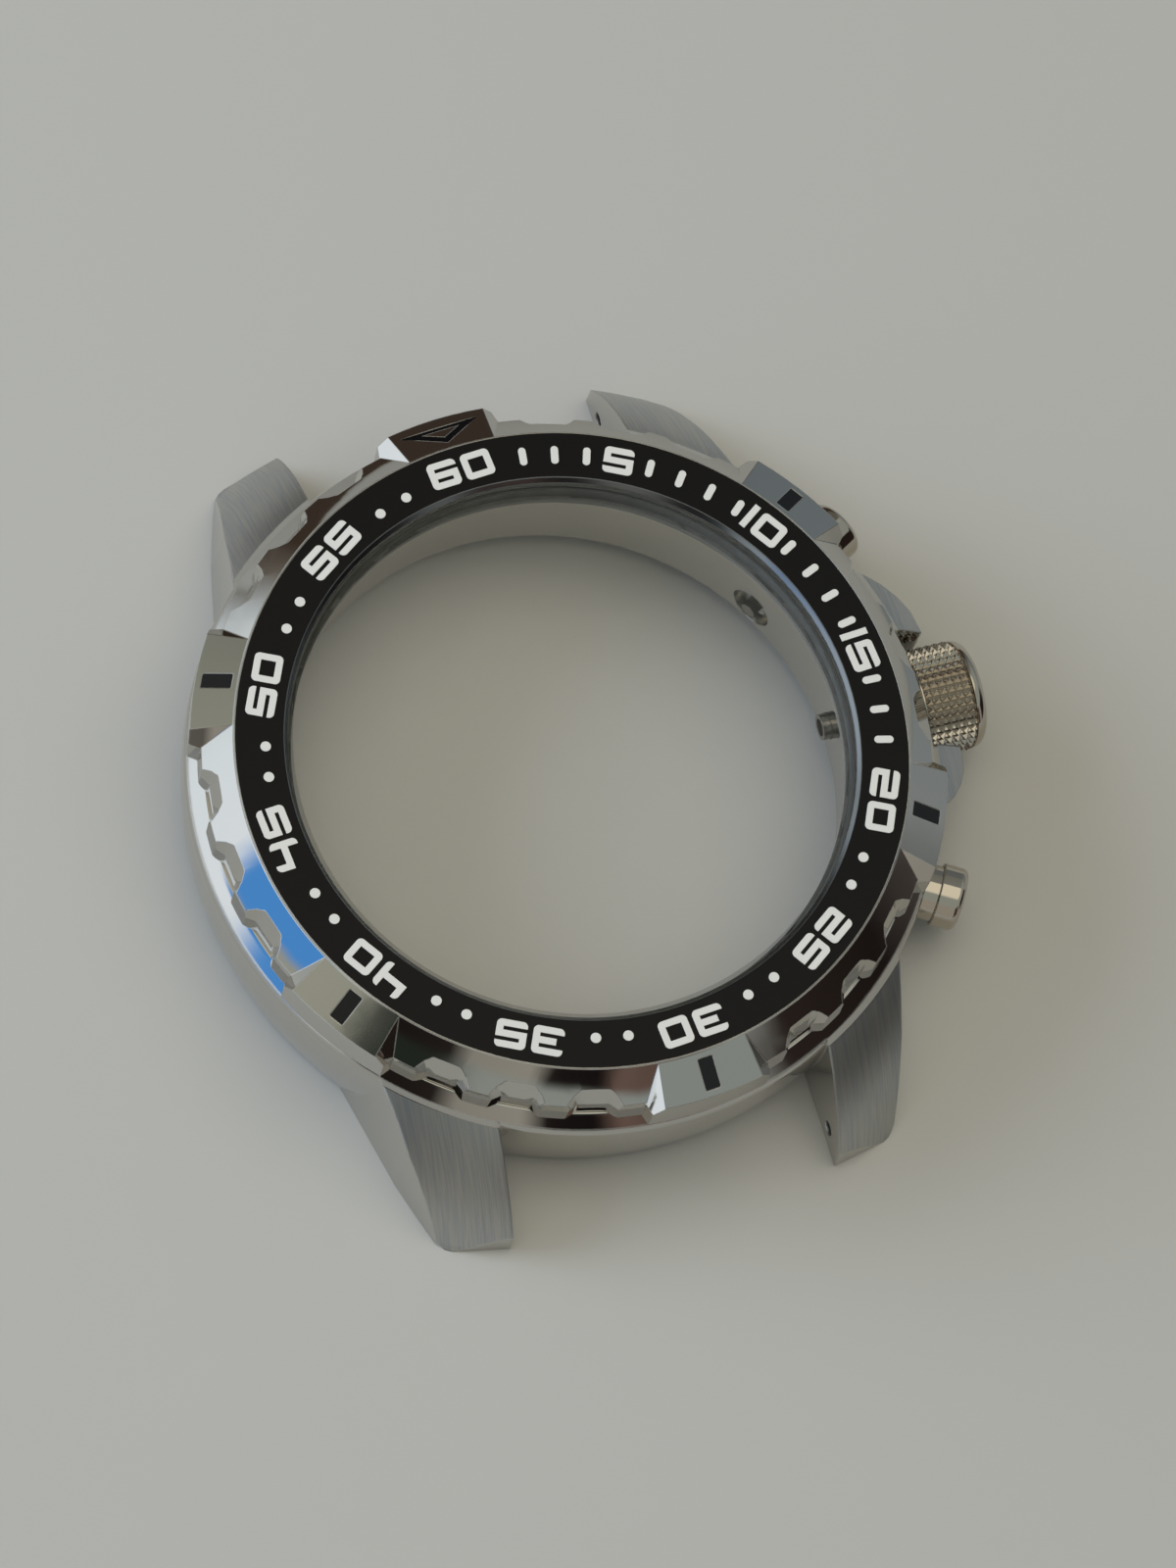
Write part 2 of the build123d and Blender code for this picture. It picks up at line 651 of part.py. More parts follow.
for label, angle in (("upper", upper_pusher_angle), ("lower", lower_pusher_angle)):
    with BuildPart() as pusher_tube:
        spun(
            angle,
            [
                (clip_bore_end, stem_bore),
                (clip_bore_end, pusher_bore),
                (collar_seat, pusher_bore),
                (collar_seat, collar_radius),
                (collar_end - 0.1, collar_radius),
                (collar_end, collar_radius - 0.1),
                (collar_end, tube_cavity_radius),
                (barrel_floor, tube_cavity_radius),
                (barrel_floor, stem_bore),
            ],
        )
    pusher_tube.part.label = f"{label}_pusher_tube"
    export_step(pusher_tube.part, f"parts/{label}_pusher_tube.step")

    with BuildPart() as pusher_head:
        spun(
            angle,
            [
                (head_start, head_bore),
                (head_start, pusher_radius - 0.06),
                (head_start + 0.06, pusher_radius),
                (head_end, pusher_radius),
                (head_end, 0),
                (head_floor + stem_socket, 0),
                (head_floor + stem_socket, stem_radius),
                (head_floor, stem_radius),
                (head_floor, head_bore),
            ],
        )
        fillet(pusher_head.edges().group_by(spoke_axis(angle))[-1], head_edge)
    pusher_head.part.label = f"{label}_pusher_head"
    export_step(pusher_head.part, f"parts/{label}_pusher_head.step")

    with BuildPart() as pusher_stem:
        spun(
            angle,
            [
                (pusher_stem_inner, 0),
                (pusher_stem_inner, stem_radius),
                (clip_start - 0.02, stem_radius),
                (clip_start - 0.02, clip_groove_radius),
                (clip_start + clip_thickness + 0.02, clip_groove_radius),
                (clip_start + clip_thickness + 0.02, stem_radius),
                (head_floor + stem_socket, stem_radius),
                (head_floor + stem_socket, 0),
            ],
        )
    pusher_stem.part.label = f"{label}_pusher_stem"
    export_step(pusher_stem.part, f"parts/{label}_pusher_stem.step")

    with BuildPart() as pusher_clip:
        with BuildSketch(spoke(angle, clip_start)):
            Circle(clip_radius)
            Circle(clip_groove_radius, mode=Mode.SUBTRACT)
            with Locations((0, clip_radius / 2)):
                Rectangle(2 * clip_groove_radius, clip_radius, mode=Mode.SUBTRACT)
        extrude(amount=clip_thickness)
    pusher_clip.part.label = f"{label}_pusher_clip"
    export_step(pusher_clip.part, f"parts/{label}_pusher_clip.step")

    with BuildPart() as pusher_gaskets:
        with BuildSketch(Plane.XZ.rotated((0, 0, angle))):
            with Locations(*[(distance, axis_z + ring_centre) for distance in ring_places]):
                Circle(ring_section)
        revolve(axis=spoke_axis(angle))
    pusher_gaskets.part.label = f"{label}_pusher_gaskets"
    export_step(pusher_gaskets.part, f"parts/{label}_pusher_gaskets.step")

    with BuildPart() as pusher_washer:
        with BuildSketch(spoke(angle, washer_start)):
            Circle(tube_cavity_radius - 0.02)
            Circle(stem_radius + seal_gap, mode=Mode.SUBTRACT)
        extrude(amount=washer_thickness)
    pusher_washer.part.label = f"{label}_pusher_washer"
    export_step(pusher_washer.part, f"parts/{label}_pusher_washer.step")

    with BuildPart() as pusher_spring:
        spring_start = washer_start + washer_thickness + spring_wire
        spring_length = head_floor - spring_wire - 0.02 - spring_start
        coil_place = spoke(angle, spring_start)
        with BuildLine() as coil:
            Helix(
                pitch=spring_length / spring_turns,
                height=spring_length,
                radius=spring_radius,
                center=coil_place.origin,
                direction=coil_place.z_dir,
            )
        with BuildSketch(Plane(origin=coil.line @ 0, z_dir=coil.line % 0)):
            Circle(spring_wire)
        sweep(path=coil.line)
    pusher_spring.part.label = f"{label}_pusher_spring"
    export_step(pusher_spring.part, f"parts/{label}_pusher_spring.step")
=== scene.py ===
import json
from math import radians, tau

import bmesh
import bpy
from bpy.props import FloatProperty, FloatVectorProperty, IntProperty, PointerProperty, StringProperty
from mathutils import Matrix, Quaternion, Vector


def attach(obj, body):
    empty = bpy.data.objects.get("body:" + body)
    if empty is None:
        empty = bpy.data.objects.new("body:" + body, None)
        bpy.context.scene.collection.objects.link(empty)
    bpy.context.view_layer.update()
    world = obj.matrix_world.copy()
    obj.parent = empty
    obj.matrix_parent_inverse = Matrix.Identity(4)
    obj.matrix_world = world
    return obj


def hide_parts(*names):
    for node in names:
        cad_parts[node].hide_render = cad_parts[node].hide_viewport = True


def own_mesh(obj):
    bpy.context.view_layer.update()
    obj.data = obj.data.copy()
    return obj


bl_info = {
    "name": "Empty watch case",
    "version": (1, 0, 0),
    "blender": (4, 5, 0),
    "location": "View3D > Sidebar > Watch case",
    "description": "Dresses a packed watch case: steel, black insert, knurled crown, crystal and stage",
    "category": "Object",
}

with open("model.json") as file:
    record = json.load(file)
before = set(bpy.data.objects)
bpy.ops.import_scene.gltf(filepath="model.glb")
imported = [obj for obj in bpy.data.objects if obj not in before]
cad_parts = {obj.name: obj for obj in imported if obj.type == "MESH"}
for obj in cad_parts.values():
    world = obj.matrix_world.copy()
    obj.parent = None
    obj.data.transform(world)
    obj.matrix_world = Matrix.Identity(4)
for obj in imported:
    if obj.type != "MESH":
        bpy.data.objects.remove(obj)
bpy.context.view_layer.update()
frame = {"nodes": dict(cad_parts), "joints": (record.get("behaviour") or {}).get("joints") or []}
nodes = frame["nodes"]
joints = {joint["name"]: joint for joint in frame["joints"]}

MM = 0.001
SIDES = ("upper", "lower")


# Small helpers

def linear(code):
    """A #rrggbb colour as the linear RGBA that shader sockets take."""
    channels = [int(code[k : k + 2], 16) / 255 for k in (1, 3, 5)]
    straight = [c / 12.92 if c <= 0.04045 else ((c + 0.055) / 1.055) ** 2.4 for c in channels]
    return (*straight, 1.0)


def add_node(tree, kind, *inputs, **others):
    """Adds a node with its settings, which are the lower-case words, and its inputs, in order or by name.

    An input is a value, a socket, or a node, which stands for its first output.
    """
    made = tree.nodes.new(kind)
    given = dict(enumerate(inputs))
    for key, value in others.items():
        if key[0].isupper():
            given[key.replace("_", " ")] = value
        else:
            setattr(made, key, value)
    for key, value in given.items():
        if isinstance(value, bpy.types.Node):
            value = value.outputs[0]
        if isinstance(value, bpy.types.NodeSocket):
            tree.links.new(value, made.inputs[key])
        else:
            made.inputs[key].default_value = value
    return made


def new_material(name):
    """An empty node material, and the tree to fill."""
    made = bpy.data.materials.new(name)
    made.use_nodes = True
    made.node_tree.nodes.clear()
    return made, made.node_tree


def paint(material, *names):
    """Gives CAD nodes a material."""
    for name in names:
        mesh = nodes[name].data
        mesh.materials.clear()
        mesh.materials.append(material)


# Patterns that several materials share

SMOOTH = {"interpolation_type": "SMOOTHSTEP"}
BEVEL_SAMPLES = 6


def own_radius(tree):
    """How far a point of the piece is from the case axis, in metres."""
    place = add_node(tree, "ShaderNodeTexCoord").outputs["Object"]
    flat = add_node(tree, "ShaderNodeVectorMath", place, (1, 1, 0), operation="MULTIPLY")
    return add_node(tree, "ShaderNodeVectorMath", flat, operation="LENGTH").outputs["Value"]


def upward(tree):
    """How far the true surface faces up, 1 when it is level."""
    facing = add_node(tree, "ShaderNodeNewGeometry").outputs["True Normal"]
    return add_node(tree, "ShaderNodeSeparateXYZ", facing).outputs["Z"]


def grain(tree, width, length=None):
    """Noise with grains of a width in metres, drawn out into lines along y where a length is given."""
    place = add_node(tree, "ShaderNodeTexCoord").outputs["Object"]
    along = 1 / (length or width)
    scaled = add_node(tree, "ShaderNodeMapping", place, Scale=(1 / width, along, along))
    return add_node(tree, "ShaderNodeTexNoise", Vector=scaled, Scale=1.0, Detail=3.0, Roughness=0.6)


def leaning(tree, normal, amount):
    """A normal tipped towards the case axis by an amount, or away from it by a negative one."""
    place = add_node(tree, "ShaderNodeTexCoord").outputs["Object"]
    flat = add_node(tree, "ShaderNodeVectorMath", place, (1, 1, 0), operation="MULTIPLY")
    outwards = add_node(tree, "ShaderNodeVectorMath", flat, operation="NORMALIZE")
    push = add_node(tree, "ShaderNodeVectorMath", outwards, Scale=amount, operation="SCALE")
    tipped = add_node(tree, "ShaderNodeVectorMath", normal, push, operation="SUBTRACT")
    return add_node(tree, "ShaderNodeVectorMath", tipped, operation="NORMALIZE")


# Radii between which one finish gives way to the next, and where the slope's hollow starts and ends
LIP_END = (17.0 * MM, 17.2 * MM)
BAND_START = (19.8 * MM, 19.95 * MM)
HOLLOW = (20.0 * MM, 21.5 * MM)
LEDGE_START = (21.2 * MM, 21.3 * MM)
TOPS_START = (22.5 * MM, 22.6 * MM)

# How level a face is where its finish starts, and where it is full: 1 faces straight up
TOP_LEVEL = (0.2, 0.3)
SLOPE_LEVEL = (0.5, 0.6)
LEDGE_LEVEL = (0.6, 0.7)
BLOCK_LEVEL = (0.84, 0.87)

# Belt lines of 240 grit are about 0.03 mm apart, too fine to show, so they are drawn as coarse as they
# need to show: 14 to the millimetre, and nearly 4 mm long
LINE_WIDTH = MM / 14
LINE_LENGTH = MM / 0.26
LINE_CONTRAST = (0.35, 0.65)
LINE_DEPTH = 0.004 * MM
LINE_RELIEF = 0.35

# The satin of the blocks is a fine blast, with pits of 0.02 mm: too fine to show, so drawn coarser
SATIN_WIDTH = MM / 12
SATIN_DEPTH = 0.003 * MM
SATIN_RELIEF = 0.3

# A lathe tool's marks are 0.02 to 0.05 mm apart: too fine to show, so drawn coarser
TURNED_WIDTH = MM / 9
TURNED_DEPTH = 0.004 * MM
TURNED_RELIEF = 0.2


# Stainless steel. The tops of lugs and guards are brushed towards the strap, which draws the room out into
# fine pale and dark lines; these lines are also painted into the base colour in a darker, bluer grey, a
# painted reflection laid on the grain. The ledge, sides and walls are polished, and mirror the room
def case_steel(look):
    """The mid-case's brushed and polished stainless steel."""
    made, tree = new_material("stainless_steel_brushed_and_polished")
    radius = own_radius(tree)
    up = upward(tree)
    outside = add_node(tree, "ShaderNodeMapRange", radius, *TOPS_START, **SMOOTH)
    facing_up = add_node(tree, "ShaderNodeMapRange", up, *TOP_LEVEL, **SMOOTH)
    on_top = add_node(tree, "ShaderNodeMath", facing_up, outside, operation="MULTIPLY")
    lines = grain(tree, LINE_WIDTH, LINE_LENGTH)
    clear_lines = add_node(tree, "ShaderNodeMapRange", lines, *LINE_CONTRAST, **SMOOTH)
    brushed = add_node(tree, "ShaderNodeMath", on_top, clear_lines, operation="MULTIPLY")
    # Painted reflection: the brushed lines on the tops mix in a darker, bluer grey than the steel
    colour = add_node(
        tree, "ShaderNodeMix", brushed, A=linear(look.steel), B=linear(look.streak_sheen), data_type="RGBA"
    )
    under_bezel = add_node(tree, "ShaderNodeMapRange", radius, *LEDGE_START, **SMOOTH)
    level = add_node(tree, "ShaderNodeMapRange", up, *LEDGE_LEVEL, **SMOOTH)
    level_there = add_node(tree, "ShaderNodeMath", under_bezel, level, operation="MULTIPLY")
    inside = add_node(tree, "ShaderNodeMath", 1.0, outside, operation="SUBTRACT")
    on_ledge = add_node(tree, "ShaderNodeMath", level_there, inside, operation="MULTIPLY")
    lean = add_node(tree, "ShaderNodeMath", on_ledge, look.ledge, operation="MULTIPLY")
    soft = add_node(tree, "ShaderNodeBevel", look.crease, samples=BEVEL_SAMPLES)
    relief = add_node(tree, "ShaderNodeMath", on_top, LINE_RELIEF, operation="MULTIPLY")
    normal = add_node(
        tree,
        "ShaderNodeBump",
        Strength=relief,
        Distance=LINE_DEPTH,
        Height=lines,
        Normal=leaning(tree, soft, lean),
    )
    shader = add_node(
        tree,
        "ShaderNodeBsdfPrincipled",
        Base_Color=colour.outputs["Result"],
        Metallic=1.0,
        Roughness=add_node(tree, "ShaderNodeMapRange", on_top, 0, 1, look.polish, look.brushing),
        Normal=normal,
    )
    add_node(tree, "ShaderNodeOutputMaterial", shader)
    return made


# Stainless steel. The band, notches and rim are buffed to a mirror, with a slightly hollow slope that
# gathers whole windows into it; the six block tops are a little duller, and the inner lip duller still, with
# its base colour painted a darker grey as painted shade
def bezel_steel(look):
    """The bezel ring's polished and satin stainless steel, with painted shade on the inner lip."""
    made, tree = new_material("stainless_steel_mirror_polished")
    radius = own_radius(tree)
    up = upward(tree)
    outside = add_node(tree, "ShaderNodeMapRange", radius, *BAND_START, **SMOOTH)
    block_level = add_node(tree, "ShaderNodeMapRange", up, *BLOCK_LEVEL, **SMOOTH)
    on_block = add_node(tree, "ShaderNodeMath", block_level, outside, operation="MULTIPLY")
    off_block = add_node(tree, "ShaderNodeMath", 1.0, on_block, operation="SUBTRACT")
    off_insert = add_node(tree, "ShaderNodeMath", off_block, outside, operation="MULTIPLY")
    slope_level = add_node(tree, "ShaderNodeMapRange", up, *SLOPE_LEVEL, **SMOOTH)
    on_slope = add_node(tree, "ShaderNodeMath", off_insert, slope_level, operation="MULTIPLY")
    on_lip = add_node(tree, "ShaderNodeMapRange", radius, *LIP_END, 1, 0, **SMOOTH)
    band_rough = add_node(tree, "ShaderNodeMapRange", on_block, 0, 1, look.polish, look.satin)
    hollow = add_node(
        tree, "ShaderNodeMapRange", radius, *HOLLOW, look.inner_lean, look.outer_lean
    )
    lean = add_node(tree, "ShaderNodeMath", on_slope, hollow, operation="MULTIPLY")
    soft = add_node(tree, "ShaderNodeBevel", look.edge, samples=BEVEL_SAMPLES)
    relief = add_node(tree, "ShaderNodeMath", on_block, SATIN_RELIEF, operation="MULTIPLY")
    normal = add_node(
        tree,
        "ShaderNodeBump",
        Strength=relief,
        Distance=SATIN_DEPTH,
        Height=grain(tree, SATIN_WIDTH),
        Normal=leaning(tree, soft, lean),
    )
    # Painted shade: the inner lip's steel is mixed to a darker grey
    colour = add_node(
        tree, "ShaderNodeMix", on_lip, A=linear(look.steel), B=linear(look.lip), data_type="RGBA"
    )
    shader = add_node(
        tree,
        "ShaderNodeBsdfPrincipled",
        Base_Color=colour.outputs["Result"],
        Metallic=1.0,
        Roughness=add_node(tree, "ShaderNodeMapRange", on_lip, 0, 1, band_rough, look.lip_finish),
        Normal=normal,
    )
    add_node(tree, "ShaderNodeOutputMaterial", shader)
    return made


def plain_steel(name, colour, roughness, edge, tool_marks=False):
    """Steel of one finish, with soft edges, and with tool marks where they are wanted."""
    made, tree = new_material(name)
    normal = add_node(tree, "ShaderNodeBevel", edge, samples=BEVEL_SAMPLES)
    if tool_marks:
        normal = add_node(
            tree,
            "ShaderNodeBump",
            Strength=TURNED_RELIEF,
            Distance=TURNED_DEPTH,
            Height=grain(tree, TURNED_WIDTH),
            Normal=normal,
        )
    shader = add_node(
        tree,
        "ShaderNodeBsdfPrincipled",
        Base_Color=linear(colour),
        Metallic=1.0,
        Roughness=roughness,
        Normal=normal,
    )
    add_node(tree, "ShaderNodeOutputMaterial", shader)
    return made


COAT_RELIEF = 0.5
COAT_SPREAD = 0.06


def coated(name, colour, roughness, width, depth, edge, sheen=0.5):
    """A lacquer, plastic, rubber or paper with a fine grain; sheen is its specular level."""
    made, tree = new_material(name)
    pattern = grain(tree, width)
    soft = add_node(tree, "ShaderNodeBevel", edge, samples=BEVEL_SAMPLES)
    normal = add_node(
        tree, "ShaderNodeBump", Strength=COAT_RELIEF, Distance=depth, Height=pattern, Normal=soft
    )
    smoothest = roughness - COAT_SPREAD
    roughest = roughness + COAT_SPREAD
    shader = add_node(
        tree,
        "ShaderNodeBsdfPrincipled",
        Base_Color=linear(colour),
        Roughness=add_node(tree, "ShaderNodeMapRange", pattern, 0, 1, smoothest, roughest),
        Specular_IOR_Level=sheen,
        Normal=normal,
    )
    add_node(tree, "ShaderNodeOutputMaterial", shader)
    return made


# Mineral glass, ground flat and polished: clear and nearly unseen from above. Its polished edge is painted
# as a thin green-grey ring, a painted reflection of the dark seal behind it
def crystal_glass(look):
    """The crystal's clear glass, with a painted reflection darkening its edge."""
    made, tree = new_material("mineral_glass_polished")
    start = look.clear_radius - look.edge_fade
    end = look.clear_radius + look.edge_fade
    on_edge = add_node(tree, "ShaderNodeMapRange", own_radius(tree), start, end, **SMOOTH)
    # Painted reflection: the edge is tinted a dark green-grey and made more opaque
    tint = add_node(
        tree,
        "ShaderNodeMix",
        on_edge,
        A=linear(look.glass),
        B=linear(look.glass_edge_reflection),
        data_type="RGBA",
    )
    shader = add_node(
        tree,
        "ShaderNodeBsdfPrincipled",
        Base_Color=tint.outputs["Result"],
        Roughness=look.polish,
        Alpha=add_node(tree, "ShaderNodeMapRange", on_edge, 0, 1, look.cover, look.edge_cover),
    )
    add_node(tree, "ShaderNodeOutputMaterial", shader)
    return made


# Settings

class CaseLook(bpy.types.PropertyGroup):
    """Finishes of the mid-case and the bezel."""

    steel: StringProperty(name="Steel", description="Colour of the steel", default="#c9c7c2")
    # Darker, bluer grey of the brushed lines: grain with a painted reflection of the room
    streak_sheen: StringProperty(name="Streak", description="Colour of the brushed lines", default="#b3b8bc")
    # Darker grey of the inner lip: painted shade on the same steel
    lip: StringProperty(name="Lip", description="Colour of the bezel's inner lip", default="#84888b")
    polish: FloatProperty(
        name="Polish",
        description="Roughness of polished steel",
        default=0.05,
        min=0,
        max=1,
        subtype="FACTOR",
    )
    brushing: FloatProperty(
        name="Brushing",
        description="Roughness of brushed tops",
        default=0.36,
        min=0,
        max=1,
        subtype="FACTOR",
    )
    satin: FloatProperty(
        name="Satin", description="Roughness of the block tops", default=0.12, min=0, max=1, subtype="FACTOR"
    )
    lip_finish: FloatProperty(
        name="Lip finish",
        description="Roughness of the inner lip",
        default=0.204,
        min=0,
        max=1,
        subtype="FACTOR",
    )
    inner_lean: FloatProperty(
        name="Inner lean", description="How far the slope leans in by the insert", default=0.18, min=0
    )
    outer_lean: FloatProperty(
        name="Outer lean", description="How far the slope leans in by the rim", default=0.27, min=0
    )
    ledge: FloatProperty(
        name="Ledge",
        description="How far the case's ledge leans in",
        default=-0.75,
        min=-1,
        max=1,
        subtype="FACTOR",
    )
    edge: FloatProperty(
        name="Edge",
        description="Radius that softens the bezel's edges",
        default=0.1 * MM,
        subtype="DISTANCE",
        unit="LENGTH",
    )
    crease: FloatProperty(
        name="Crease",
        description="Radius that softens the mid-case's edges",
        default=0.22 * MM,
        subtype="DISTANCE",
        unit="LENGTH",
    )


class InsertLook(bpy.types.PropertyGroup):
    """Colours of the bezel's insert, print and enamel."""

    black: StringProperty(name="Insert", description="Colour of the insert", default="#0e0d0d")
    white: StringProperty(
        name="Print", description="Colour of the numerals and marks", default="#d9dad7"
    )
    enamel: StringProperty(name="Enamel", description="Colour of the block fills", default="#08090c")


class CrystalLook(bpy.types.PropertyGroup):
    """The glass, its edge and its seal."""

    glass: StringProperty(name="Glass", description="Tint of the glass", default="#c2c4bc")
    # Dark green-grey of the crystal's edge: a painted reflection of the seal
    glass_edge_reflection: StringProperty(
        name="Edge", description="Tint of the polished edge", default="#4c534d"
    )
    polish: FloatProperty(
        name="Polish", description="Roughness of the glass", default=0.02, min=0, max=1, subtype="FACTOR"
    )
    cover: FloatProperty(
        name="Cover", description="How much the glass hides", default=0.03, min=0, max=1, subtype="FACTOR"
    )
    edge_cover: FloatProperty(
        name="Edge cover", description="How much the edge hides", default=0.3, min=0, max=1, subtype="FACTOR"
    )
    clear_radius: FloatProperty(
        name="Clear radius",
        description="Radius of the flat top",
        default=16.35 * MM,
        subtype="DISTANCE",
        unit="LENGTH",
    )
    edge_fade: FloatProperty(
        name="Edge fade",
        description="Half the width over which the edge's tint comes in",
        default=0.02 * MM,
        subtype="DISTANCE",
        unit="LENGTH",
    )
    seal: StringProperty(name="Seal", description="Colour of the crystal's gasket", default="#6d6f6c")


class CrownLook(bpy.types.PropertyGroup):
    """The crown's knurl, and the pushers."""

    rows: IntProperty(name="Rows", description="Rows of pyramids round the crown", default=40, min=3)
    pyramids: IntProperty(name="Pyramids", description="Pyramids in a row", default=6, min=1)
    height: FloatProperty(
        name="Height",
        description="Height of a pyramid",
        default=0.32 * MM,
        subtype="DISTANCE",
        unit="LENGTH",
    )
    tip: FloatProperty(
        name="Tip",
        description="Width of a pyramid's tip, as a share of its foot's",
        default=0.12,
        min=0,
        max=1,
        subtype="FACTOR",
    )
    ridge: FloatProperty(
        name="Ridge",
        description="Height of a row's ridge, as a share of its pyramids'",
        default=0.6,
        min=0,
        max=1,
        subtype="FACTOR",
    )
    steel: StringProperty(name="Steel", description="Colour of crown and pushers", default="#c8c0b4")
    knurl: FloatProperty(
        name="Crown finish",
        description="Roughness of the crown",
        default=0.09,
        min=0,
        max=1,
        subtype="FACTOR",
    )
    pusher: FloatProperty(
        name="Pusher finish",
        description="Roughness of the pushers",
        default=0.06,
        min=0,
        max=1,
        subtype="FACTOR",
    )


class InnerLook(bpy.types.PropertyGroup):
    """Colours and finishes of the seals, stems and springs."""

    rubber: StringProperty(name="Rubber", description="Colour of the seals", default="#161616")
    turned: StringProperty(name="Turned", description="Colour of stems and tubes", default="#97948f")
    wire: StringProperty(name="Wire", description="Colour of springs and clips", default="#b4b4b6")
    turning: FloatProperty(
        name="Turning", description="Roughness of turned steel", default=0.22, min=0, max=1, subtype="FACTOR"
    )
    drawing: FloatProperty(
        name="Drawing", description="Roughness of drawn wire", default=0.2, min=0, max=1, subtype="FACTOR"
    )


class StageLook(bpy.types.PropertyGroup):
    """Camera, lamps, room and floor."""

    camera: FloatVectorProperty(
        name="Camera",
        description="Where the camera stands",
        default=(-0.07038, -0.09651, 0.29414),
        subtype="XYZ",
        unit="LENGTH",
    )
    aim: FloatVectorProperty(
        name="Aim",
        description="Point of the floor in the picture's middle",
        default=(0.00279, 0.0011, 0),
        subtype="XYZ",
        unit="LENGTH",
    )
    roll: FloatProperty(
        name="Roll", description="Turn of the camera", default=radians(21.487), subtype="ANGLE"
    )
    lens: FloatProperty(
        name="Lens", description="Focal length in mm", default=121.5, min=1, unit="CAMERA"
    )
    floor: StringProperty(name="Floor", description="Colour of the table", default="#b4b5b2")
    window: FloatProperty(
        name="Window", description="Power of the window lamp", default=2.6, unit="POWER"
    )
    window_colour: StringProperty(
        name="Window colour", description="Colour of the window lamp", default="#dde9ff"
    )
    ceiling: FloatProperty(
        name="Ceiling", description="Power of the ceiling lamp", default=4.4, unit="POWER"
    )
    ceiling_colour: StringProperty(
        name="Ceiling colour", description="Colour of the ceiling lamp", default="#fff1dc"
    )
    room: FloatProperty(
        name="Room", description="Strength of the room's light", default=1.3, min=0
    )
    pane: StringProperty(name="Pane", description="Colour of the blue window", default="#4f94e0")
    zenith: StringProperty(name="Zenith", description="Colour straight above", default="#e0dbca")


# Case, bezel and crystal

class WATCHCASE_OT_case(bpy.types.Operator):
    """Paints the mid-case: brushed tops, polished sides and walls"""

    bl_idname = "watchcase.case"
    bl_label = "Mid-case"

    def execute(self, context):
        paint(case_steel(context.scene.case_look), "mid_case")
        return {"FINISHED"}


class WATCHCASE_OT_bezel(bpy.types.Operator):
    """Paints the bezel ring, its insert, the white print and the enamel"""

    bl_idname = "watchcase.bezel"
    bl_label = "Bezel"

    def execute(self, context):
        look = context.scene.insert_look
        paint(bezel_steel(context.scene.case_look), "bezel_ring")
        # Black anodised aluminium: a dyed film over a fine blast, deep black with a faint dull sheen.
        # The blast's pits of 0.02 mm are too fine to show, so they are drawn six to the millimetre
        insert = coated(
            "aluminium_black_anodised",
            look.black,
            roughness=0.3,
            width=MM / 6,
            depth=0.002 * MM,
            edge=0.02 * MM,
            sheen=0.2,
        )
        paint(insert, "bezel_insert")
        # White lacquer, pad printed in a thick coat: chalky, with soft rims and a faint orange peel of
        # 0.2 mm
        white = coated(
            "lacquer_white_printed",
            look.white,
            roughness=0.55,
            width=MM / 5,
            depth=0.01 * MM,
            edge=0.03 * MM,
        )
        paint(white, "bezel_numerals", "bezel_minute_marks")
        # Black enamel, filled in and levelled: glossy, with a shallow wave 0.3 mm wide
        enamel = coated(
            "enamel_black_filled",
            look.enamel,
            roughness=0.2,
            width=MM / 3,
            depth=0.001 * MM,
            edge=0.02 * MM,
        )
        paint(enamel, "bezel_enamel")
        return {"FINISHED"}


class WATCHCASE_OT_crystal(bpy.types.Operator):
    """Paints the crystal and its seal"""

    bl_idname = "watchcase.crystal"
    bl_label = "Crystal"

    def execute(self, context):
        look = context.scene.crystal_look
        paint(crystal_glass(look), "crystal")
        # Nylon, moulded: a grey, waxy ring. Its mould's texture of 0.05 mm is too fine to show, so it is
        # drawn 0.4 mm wide
        seal = coated(
            "nylon_moulded",
            look.seal,
            roughness=0.5,
            width=MM / 2.5,
            depth=0.002 * MM,
            edge=0.03 * MM,
        )
        paint(seal, "crystal_gasket")
        return {"FINISHED"}


# Crown

# Its half section, in millimetres along the crown's axis and out from it
KNURL_START = 22.5
KNURL_END = 25.5
KNURL_FOOT = 3.05
CROWN_SHANK = ((24.65, 0.5), (24.65, 2.3), (22.4, 2.3), (22.4, 3.1), (22.48, 3.12))
CROWN_SHOULDER = ((25.54, 3.3), (26.0, 3.19), (26.2, 2.95))
CROWN_DOME = ((26.2, 2.95), (26.46, 1.48), (26.55, 0.0))
CROWN_SIDES = 96
CROWN_SHARP = radians(32)
SAME_POINT = 0.001 * MM
CROWN_AXIS_Z = joints["crown_pull"]["pos_m"][2]


def arc(first, middle, last, steps):
    """Points along the circle through three points of a plane, the first one left out."""
    a, b, c = Vector(first), Vector(middle), Vector(last)
    across, along = b - a, c - a
    twice_area = 2 * (across.x * along.y - across.y * along.x)
    reach = Vector(
        (
            along.y * across.length_squared - across.y * along.length_squared,
            across.x * along.length_squared - along.x * across.length_squared,
        )
    ) / twice_area
    centre = a + reach
    sweep = (c - centre).angle_signed(a - centre)
    turns = [Matrix.Rotation(sweep * k / steps, 2) for k in range(1, steps + 1)]
    return [tuple(centre + turn @ (a - centre)) for turn in turns]


def crown_outline():
    """The crown's half section: its cavity, the knurl's foot, a rounded shoulder and the dome."""
    points = [*CROWN_SHANK, (KNURL_START, KNURL_FOOT), (KNURL_END, KNURL_FOOT), CROWN_SHOULDER[0]]
    return points + arc(*CROWN_SHOULDER, steps=6) + arc(*CROWN_DOME, steps=8)


